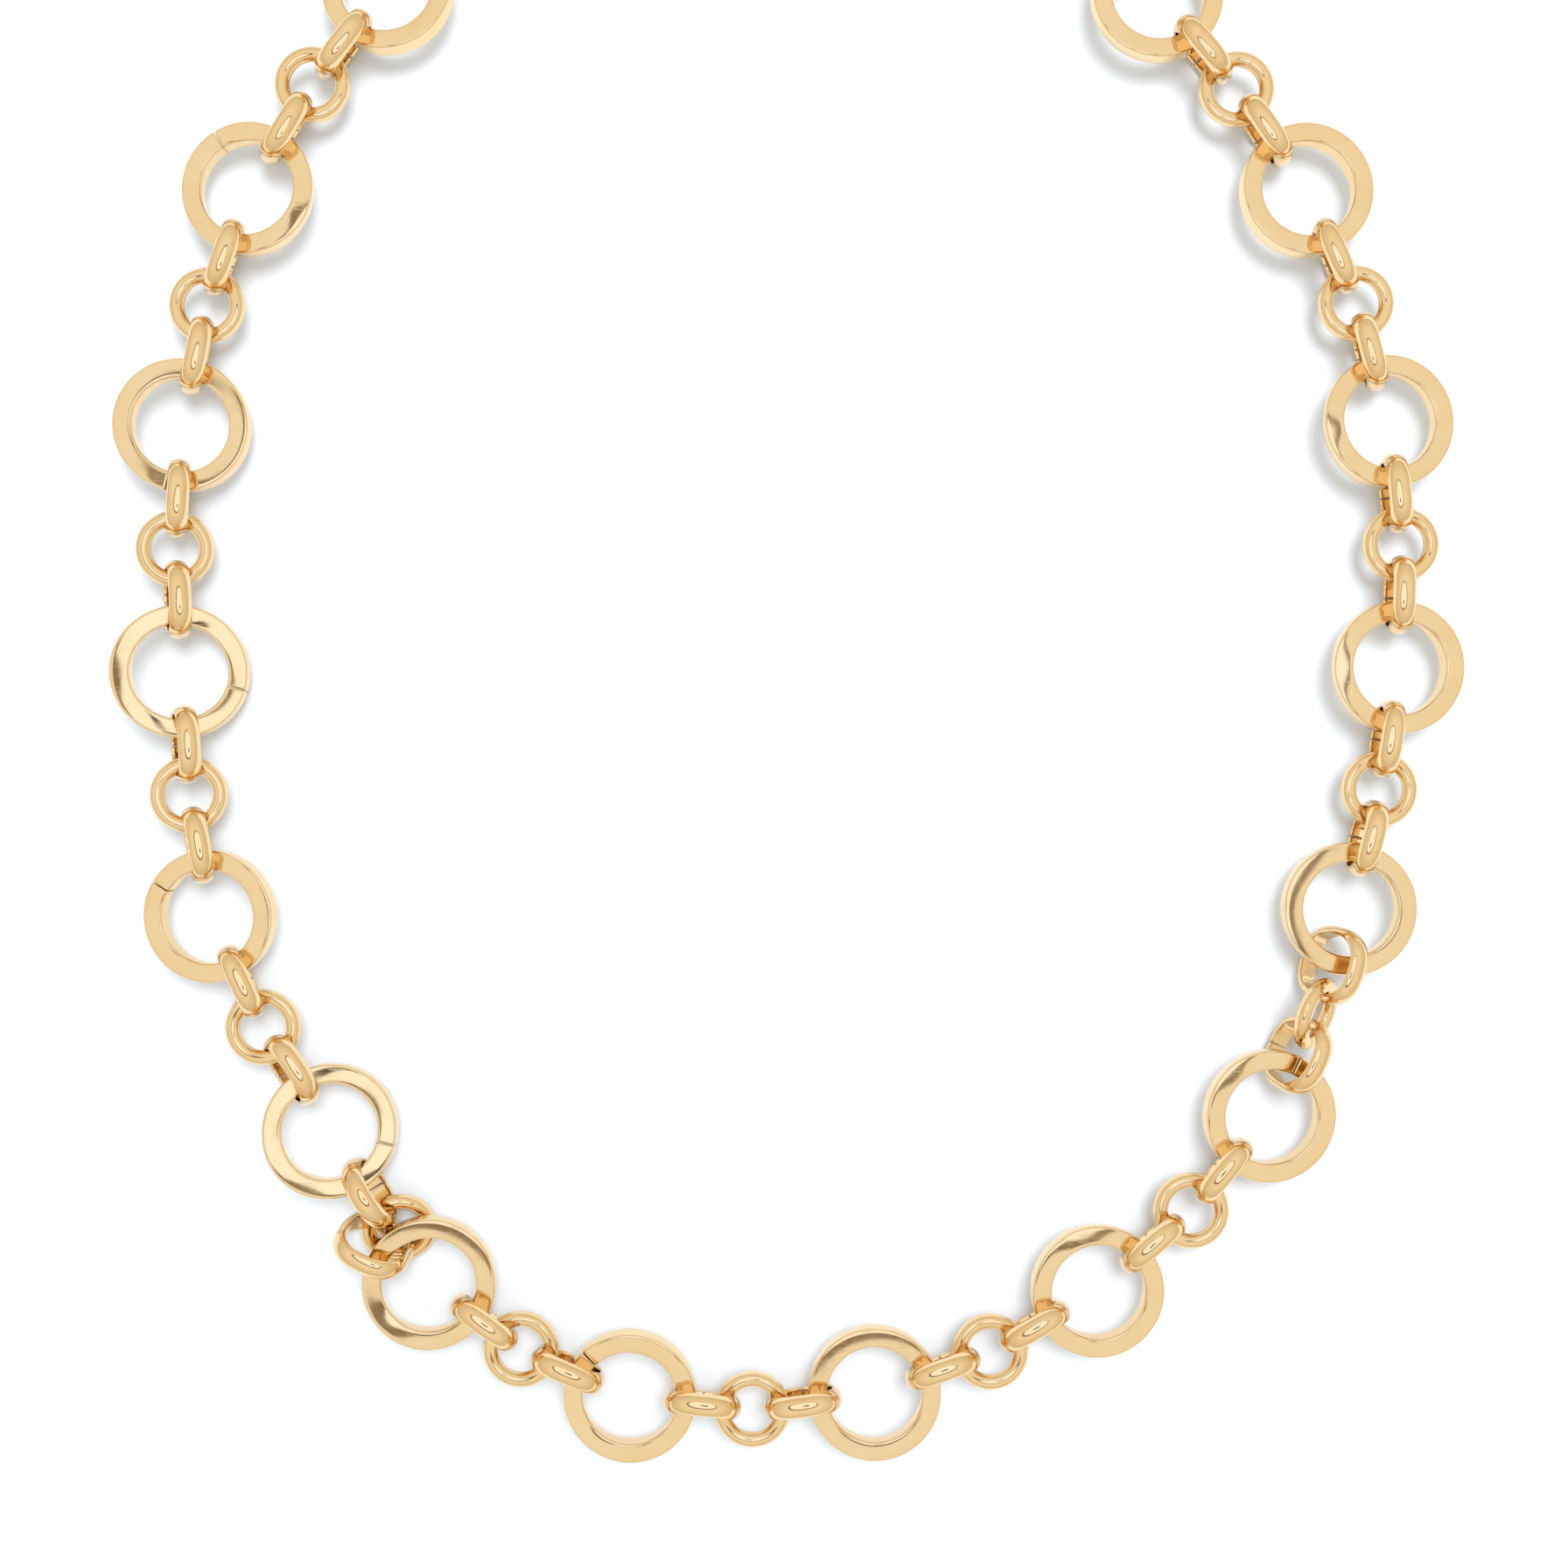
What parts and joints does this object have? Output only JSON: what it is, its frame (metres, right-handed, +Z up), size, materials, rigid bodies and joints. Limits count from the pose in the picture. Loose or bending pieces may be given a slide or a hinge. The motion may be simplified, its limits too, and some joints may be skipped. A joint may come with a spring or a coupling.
{
  "type": "chain necklace",
  "caption": "Gold-toned ring chain necklace: large square-wire rings and small round-wire rings joined by half-round links, with a lobster clasp.",
  "frame": {"origin": "under the middle of the necklace's box, on the surface it lies on", "axes": "+Z up from the surface, +Y from the front of the chest to the nape and clasp, +X to the wearer's left"},
  "size_m": [0.1216, 0.165, 0.0071],
  "materials": {
    "square_wire_gold": "polished pale gold plate with fine handling scratches",
    "round_wire_gold": "polished pale gold plate with fine handling scratches",
    "link_gold": "polished pale gold plate, slightly warmer inside the links",
    "clasp_gold": "cast and tumbled gold plate, softly polished",
    "spring_steel": "drawn spring wire"
  },
  "bodies": {
    "clasp_body": {"clasp_body": "clasp_gold", "clasp_pin": "clasp_gold", "clasp_spring": "spring_steel"},
    "clasp_jump_ring": {"clasp_jump_ring": "round_wire_gold"},
    "clasp_trigger": {"clasp_trigger": "clasp_gold"},
    "large_ring_01": {"large_ring_01": "square_wire_gold"},
    "large_ring_02": {"large_ring_02": "square_wire_gold"},
    "large_ring_03": {"large_ring_03": "square_wire_gold"},
    "large_ring_04": {"large_ring_04": "square_wire_gold"},
    "large_ring_05": {"large_ring_05": "square_wire_gold"},
    "large_ring_06": {"large_ring_06": "square_wire_gold"},
    "large_ring_07": {"large_ring_07": "square_wire_gold"},
    "large_ring_08": {"large_ring_08": "square_wire_gold"},
    "large_ring_09": {"large_ring_09": "square_wire_gold"},
    "large_ring_10": {"large_ring_10": "square_wire_gold"},
    "large_ring_11": {"large_ring_11": "square_wire_gold"},
    "large_ring_12": {"large_ring_12": "square_wire_gold"},
    "large_ring_13": {"large_ring_13": "square_wire_gold"},
    "large_ring_14": {"large_ring_14": "square_wire_gold"},
    "large_ring_15": {"large_ring_15": "square_wire_gold"},
    "large_ring_16": {"large_ring_16": "square_wire_gold"},
    "large_ring_17": {"large_ring_17": "square_wire_gold"},
    "large_ring_18": {"large_ring_18": "square_wire_gold"},
    "large_ring_19": {"large_ring_19": "square_wire_gold"},
    "link_01": {"link_01": "link_gold"},
    "link_02": {"link_02": "link_gold"},
    "link_03": {"link_03": "link_gold"},
    "link_04": {"link_04": "link_gold"},
    "link_05": {"link_05": "link_gold"},
    "link_06": {"link_06": "link_gold"},
    "link_07": {"link_07": "link_gold"},
    "link_08": {"link_08": "link_gold"},
    "link_09": {"link_09": "link_gold"},
    "link_10": {"link_10": "link_gold"},
    "link_11": {"link_11": "link_gold"},
    "link_12": {"link_12": "link_gold"},
    "link_13": {"link_13": "link_gold"},
    "link_14": {"link_14": "link_gold"},
    "link_15": {"link_15": "link_gold"},
    "link_16": {"link_16": "link_gold"},
    "link_17": {"link_17": "link_gold"},
    "link_18": {"link_18": "link_gold"},
    "small_ring_with_link_01": {"small_ring_with_link_01": "link_gold"},
    "small_ring_with_link_02": {"small_ring_with_link_02": "link_gold"},
    "small_ring_with_link_03": {"small_ring_with_link_03": "link_gold"},
    "small_ring_with_link_04": {"small_ring_with_link_04": "link_gold"},
    "small_ring_with_link_05": {"small_ring_with_link_05": "link_gold"},
    "small_ring_with_link_06": {"small_ring_with_link_06": "link_gold"},
    "small_ring_with_link_07": {"small_ring_with_link_07": "link_gold"},
    "small_ring_with_link_08": {"small_ring_with_link_08": "link_gold"},
    "small_ring_with_link_09": {"small_ring_with_link_09": "link_gold"},
    "small_ring_with_link_10": {"small_ring_with_link_10": "link_gold"},
    "small_ring_with_link_11": {"small_ring_with_link_11": "link_gold"},
    "small_ring_with_link_12": {"small_ring_with_link_12": "link_gold"},
    "small_ring_with_link_13": {"small_ring_with_link_13": "link_gold"},
    "small_ring_with_link_14": {"small_ring_with_link_14": "link_gold"},
    "small_ring_with_link_15": {"small_ring_with_link_15": "link_gold"},
    "small_ring_with_link_16": {"small_ring_with_link_16": "link_gold"},
    "small_ring_with_link_17": {"small_ring_with_link_17": "link_gold"},
    "small_ring_with_link_18": {"small_ring_with_link_18": "link_gold"}
  },
  "joints": [
    {"name": "link_01_fold", "type": "hinge", "parent": "small_ring_with_link_01", "child": "link_01", "pos_m": [-0.00759, 0.07112, 0.00355], "axis": [0.2533, -0.9674, 0], "range_deg": [-60, 60]},
    {"name": "large_ring_01_fold", "type": "hinge", "parent": "link_01", "child": "large_ring_01", "pos_m": [-0.00447, 0.07193, 0.00355], "axis": [-0.2533, 0.9674, 0], "range_deg": [-30, 30]},
    {"name": "small_ring_with_link_01_fold", "type": "hinge", "parent": "large_ring_02", "child": "small_ring_with_link_01", "pos_m": [-0.01572, 0.06806, 0.00355], "axis": [-0.3957, 0.9184, 0], "range_deg": [-30, 30]},
    {"name": "link_02_fold", "type": "hinge", "parent": "small_ring_with_link_02", "child": "link_02", "pos_m": [-0.02694, 0.06078, 0.00355], "axis": [-0.628, 0.7782, 0], "range_deg": [-60, 60]},
    {"name": "large_ring_02_fold", "type": "hinge", "parent": "link_02", "child": "large_ring_02", "pos_m": [-0.02443, 0.06281, 0.00355], "axis": [0.628, -0.7782, 0], "range_deg": [-30, 30]},
    {"name": "small_ring_with_link_02_fold", "type": "hinge", "parent": "large_ring_03", "child": "small_ring_with_link_02", "pos_m": [-0.03289, 0.05447, 0.00356], "axis": [0.7642, -0.6364, 0.1045], "range_deg": [-30, 30]},
    {"name": "link_03_fold", "type": "hinge", "parent": "small_ring_with_link_03", "child": "link_03", "pos_m": [-0.04133, 0.04395, 0.00355], "axis": [0.7875, -0.6163, 0], "range_deg": [-60, 60]},
    {"name": "large_ring_03_fold", "type": "hinge", "parent": "link_03", "child": "large_ring_03", "pos_m": [-0.03934, 0.04649, 0.00356], "axis": [-0.783, 0.6131, -0.1045], "range_deg": [-30, 30]},
    {"name": "small_ring_with_link_03_fold", "type": "hinge", "parent": "large_ring_04", "child": "small_ring_with_link_03", "pos_m": [-0.04613, 0.03669, 0.0036], "axis": [-0.8507, 0.5185, -0.0867], "range_deg": [-30, 30]},
    {"name": "link_04_fold", "type": "hinge", "parent": "small_ring_with_link_04", "child": "link_04", "pos_m": [-0.05161, 0.02445, 0.00355], "axis": [-0.9418, 0.3362, 0], "range_deg": [-60, 60]},
    {"name": "large_ring_04_fold", "type": "hinge", "parent": "link_04", "child": "large_ring_04", "pos_m": [-0.05053, 0.02748, 0.0036], "axis": [0.9377, -0.3364, 0.0867], "range_deg": [-30, 30]},
    {"name": "small_ring_with_link_04_fold", "type": "hinge", "parent": "large_ring_05", "child": "small_ring_with_link_04", "pos_m": [-0.05373, 0.01602, 0.00351], "axis": [0.9746, -0.1982, -0.1043], "range_deg": [-30, 30]},
    {"name": "link_05_fold", "type": "hinge", "parent": "small_ring_with_link_05", "child": "link_05", "pos_m": [-0.05526, 0.00265, 0.00353], "axis": [0.9831, -0.0587, -0.1734], "range_deg": [-60, 60]},
    {"name": "large_ring_05_fold", "type": "hinge", "parent": "link_05", "child": "large_ring_05", "pos_m": [-0.05506, 0.00587, 0.00351], "axis": [-0.9927, 0.0607, 0.1043], "range_deg": [-30, 30]},
    {"name": "small_ring_with_link_05_fold", "type": "hinge", "parent": "large_ring_06", "child": "small_ring_with_link_05", "pos_m": [-0.05515, -0.00605, 0.00353], "axis": [-0.9387, -0.0442, 0.342], "range_deg": [-30, 30]},
    {"name": "link_06_fold", "type": "hinge", "parent": "small_ring_with_link_06", "child": "link_06", "pos_m": [-0.05435, -0.01951, 0.00353], "axis": [-0.9826, -0.0669, 0.1734], "range_deg": [-60, 60]},
    {"name": "large_ring_06_fold", "type": "hinge", "parent": "link_06", "child": "large_ring_06", "pos_m": [-0.05457, -0.01629, 0.00353], "axis": [0.9377, 0.0617, -0.342], "range_deg": [-30, 30]},
    {"name": "small_ring_with_link_06_fold", "type": "hinge", "parent": "large_ring_07", "child": "small_ring_with_link_06", "pos_m": [-0.05313, -0.02813, 0.00362], "axis": [0.9793, 0.1741, 0.1036], "range_deg": [-30, 30]},
    {"name": "link_07_fold", "type": "hinge", "parent": "small_ring_with_link_07", "child": "link_07", "pos_m": [-0.04865, -0.04073, 0.00355], "axis": [0.9027, 0.4302, 0], "range_deg": [-60, 60]},
    {"name": "large_ring_07_fold", "type": "hinge", "parent": "link_07", "child": "large_ring_07", "pos_m": [-0.05004, -0.03782, 0.00362], "axis": [-0.899, -0.4254, -0.1036], "range_deg": [-30, 30]},
    {"name": "small_ring_with_link_07_fold", "type": "hinge", "parent": "large_ring_08", "child": "small_ring_with_link_07", "pos_m": [-0.04418, -0.0482, 0.00359], "axis": [-0.7955, -0.5212, 0.3089], "range_deg": [-30, 30]},
    {"name": "link_08_fold", "type": "hinge", "parent": "small_ring_with_link_08", "child": "link_08", "pos_m": [-0.03695, -0.05958, 0.00281], "axis": [-0.8486, -0.529, -0.0039], "range_deg": [-10, 10]},
    {"name": "large_ring_08_fold", "type": "hinge", "parent": "link_08", "child": "large_ring_08", "pos_m": [-0.03866, -0.05685, 0.00354], "axis": [0.8063, 0.5044, -0.309], "range_deg": [-5, 5]},
    {"name": "small_ring_with_link_08_fold", "type": "hinge", "parent": "large_ring_09", "child": "small_ring_with_link_08", "pos_m": [-0.03674, -0.06342, 0.00401], "axis": [0.5516, 0.8341, -0.0046], "range_deg": [-5, 5]},
    {"name": "link_09_fold", "type": "hinge", "parent": "small_ring_with_link_09", "child": "link_09", "pos_m": [-0.02645, -0.07062, 0.00355], "axis": [0.5868, 0.8097, 0], "range_deg": [-10, 10]},
    {"name": "large_ring_09_fold", "type": "hinge", "parent": "link_09", "child": "large_ring_09", "pos_m": [-0.02835, -0.06925, 0.0031], "axis": [-0.588, -0.8088, 0.0086], "range_deg": [-5, 5]},
    {"name": "small_ring_with_link_09_fold", "type": "hinge", "parent": "large_ring_10", "child": "small_ring_with_link_09", "pos_m": [-0.0191, -0.07443, 0.00362], "axis": [-0.3913, -0.9162, -0.0862], "range_deg": [-30, 30]},
    {"name": "link_10_fold", "type": "hinge", "parent": "small_ring_with_link_10", "child": "link_10", "pos_m": [-0.00608, -0.07735, 0.00355], "axis": [-0.1079, -0.9942, 0], "range_deg": [-60, 60]},
    {"name": "large_ring_10_fold", "type": "hinge", "parent": "link_10", "child": "large_ring_10", "pos_m": [-0.00929, -0.07701, 0.00361], "axis": [0.1096, 0.9902, 0.0863], "range_deg": [-30, 30]},
    {"name": "small_ring_with_link_10_fold", "type": "hinge", "parent": "large_ring_11", "child": "small_ring_with_link_10", "pos_m": [0.00256, -0.07683, 0.00355], "axis": [-0.137, 0.9906, 0], "range_deg": [-30, 30]},
    {"name": "link_11_fold", "type": "hinge", "parent": "large_ring_11", "child": "link_11", "pos_m": [0.01248, -0.07443, 0.00355], "axis": [-0.3305, 0.9438, 0], "range_deg": [-30, 30]},
    {"name": "small_ring_with_link_11_fold", "type": "hinge", "parent": "link_11", "child": "small_ring_with_link_11", "pos_m": [0.01553, -0.07337, 0.00355], "axis": [0.3305, -0.9438, 0], "range_deg": [-60, 60]},
    {"name": "large_ring_12_fold", "type": "hinge", "parent": "small_ring_with_link_11", "child": "large_ring_12", "pos_m": [0.02329, -0.06948, 0.00358], "axis": [-0.4977, 0.8645, 0.0695], "range_deg": [-30, 30]},
    {"name": "link_12_fold", "type": "hinge", "parent": "large_ring_12", "child": "link_12", "pos_m": [0.03165, -0.06361, 0.00358], "axis": [0.6446, -0.7614, -0.0695], "range_deg": [-30, 30]},
    {"name": "small_ring_with_link_12_fold", "type": "hinge", "parent": "link_12", "child": "small_ring_with_link_12", "pos_m": [0.03411, -0.06152, 0.00355], "axis": [-0.6468, 0.7627, 0], "range_deg": [-60, 60]},
    {"name": "large_ring_13_fold", "type": "hinge", "parent": "small_ring_with_link_12", "child": "large_ring_13", "pos_m": [0.04, -0.05513, 0.00361], "axis": [0.7689, -0.6309, -0.1038], "range_deg": [-30, 30]},
    {"name": "link_13_fold", "type": "hinge", "parent": "large_ring_13", "child": "link_13", "pos_m": [0.04541, -0.04651, 0.00362], "axis": [-0.9026, 0.4178, 0.1036], "range_deg": [-16, 16]},
    {"name": "small_ring_with_link_13_fold", "type": "hinge", "parent": "link_13", "child": "small_ring_with_link_13", "pos_m": [0.04644, -0.04453, 0.00363], "axis": [0.5349, -0.2456, -0.8084], "range_deg": [-16, 16]},
    {"name": "large_ring_14_fold", "type": "hinge", "parent": "small_ring_with_link_13", "child": "large_ring_14", "pos_m": [0.049, -0.03746, 0.00355], "axis": [-0.9627, 0.2706, 0], "range_deg": [-16, 16]},
    {"name": "link_14_fold", "type": "hinge", "parent": "large_ring_14", "child": "link_14", "pos_m": [0.05167, -0.02755, 0.00355], "axis": [0.9682, -0.2504, 0], "range_deg": [-16, 16]},
    {"name": "small_ring_with_link_14_fold", "type": "hinge", "parent": "link_14", "child": "small_ring_with_link_14", "pos_m": [0.05248, -0.02443, 0.00355], "axis": [-0.9682, 0.2504, 0], "range_deg": [-32, 32]},
    {"name": "large_ring_15_fold", "type": "hinge", "parent": "small_ring_with_link_14", "child": "large_ring_15", "pos_m": [0.05405, -0.01587, 0.00358], "axis": [0.9854, -0.1466, -0.087], "range_deg": [-30, 30]},
    {"name": "link_15_fold", "type": "hinge", "parent": "large_ring_15", "child": "link_15", "pos_m": [0.05495, -0.00567, 0.00358], "axis": [-0.9958, 0.0282, 0.087], "range_deg": [-30, 30]},
    {"name": "small_ring_with_link_15_fold", "type": "hinge", "parent": "link_15", "child": "small_ring_with_link_15", "pos_m": [0.05503, -0.00244, 0.00355], "axis": [0.9996, -0.0275, 0], "range_deg": [-60, 60]},
    {"name": "large_ring_16_fold", "type": "hinge", "parent": "small_ring_with_link_15", "child": "large_ring_16", "pos_m": [0.05448, 0.00624, 0.0036], "axis": [-0.987, -0.1053, 0.1215], "range_deg": [-30, 30]},
    {"name": "link_16_fold", "type": "hinge", "parent": "large_ring_16", "child": "link_16", "pos_m": [0.05262, 0.0163, 0.0036], "axis": [0.9593, 0.255, -0.1215], "range_deg": [-30, 30]},
    {"name": "small_ring_with_link_16_fold", "type": "hinge", "parent": "link_16", "child": "small_ring_with_link_16", "pos_m": [0.05178, 0.01941, 0.00355], "axis": [-0.9659, -0.259, 0], "range_deg": [-60, 60]},
    {"name": "large_ring_17_fold", "type": "hinge", "parent": "small_ring_with_link_16", "child": "large_ring_17", "pos_m": [0.04866, 0.02752, 0.00358], "axis": [0.9124, 0.4034, -0.0695], "range_deg": [-30, 30]},
    {"name": "link_17_fold", "type": "hinge", "parent": "large_ring_17", "child": "link_17", "pos_m": [0.04368, 0.03644, 0.00358], "axis": [-0.8225, -0.5645, 0.0695], "range_deg": [-30, 30]},
    {"name": "small_ring_with_link_17_fold", "type": "hinge", "parent": "link_17", "child": "small_ring_with_link_17", "pos_m": [0.04185, 0.0391, 0.00355], "axis": [0.824, 0.5666, 0], "range_deg": [-60, 60]},
    {"name": "large_ring_18_fold", "type": "hinge", "parent": "small_ring_with_link_17", "child": "large_ring_18", "pos_m": [0.03642, 0.0459, 0.00357], "axis": [-0.756, -0.6462, 0.1045], "range_deg": [-30, 30]},
    {"name": "link_18_fold", "type": "hinge", "parent": "large_ring_18", "child": "link_18", "pos_m": [0.02947, 0.05344, 0.00357], "axis": [0.7048, 0.7017, -0.1045], "range_deg": [-30, 30]},
    {"name": "small_ring_with_link_18_fold", "type": "hinge", "parent": "link_18", "child": "small_ring_with_link_18", "pos_m": [0.02719, 0.05572, 0.00355], "axis": [-0.7081, -0.7061, 0], "range_deg": [-60, 60]},
    {"name": "large_ring_19_fold", "type": "hinge", "parent": "small_ring_with_link_18", "child": "large_ring_19", "pos_m": [0.02083, 0.06167, 0.00355], "axis": [0.6714, 0.7411, 0], "range_deg": [-30, 30]},
    {"name": "clasp_jump_ring_fold", "type": "hinge", "parent": "large_ring_01", "child": "clasp_jump_ring", "pos_m": [0.00543, 0.07465, 0.00355], "axis": [0.2756, -0.9613, 0], "range_deg": [-30, 30]},
    {"name": "clasp_body_fold", "type": "hinge", "parent": "clasp_jump_ring", "child": "clasp_body", "pos_m": [0.00735, 0.0752, 0.003], "axis": [-0.2756, 0.9613, 0], "range_deg": [-30, 30]},
    {"name": "clasp_trigger_press", "type": "hinge", "parent": "clasp_body", "child": "clasp_trigger", "pos_m": [0.01349, 0.0781, 0.00251], "axis": [0.0938, 0.0269, 0.9952], "range_deg": [-14, 0], "stiffness_Nm_per_rad": 0.0004, "springref_deg": 14.32}
  ]
}
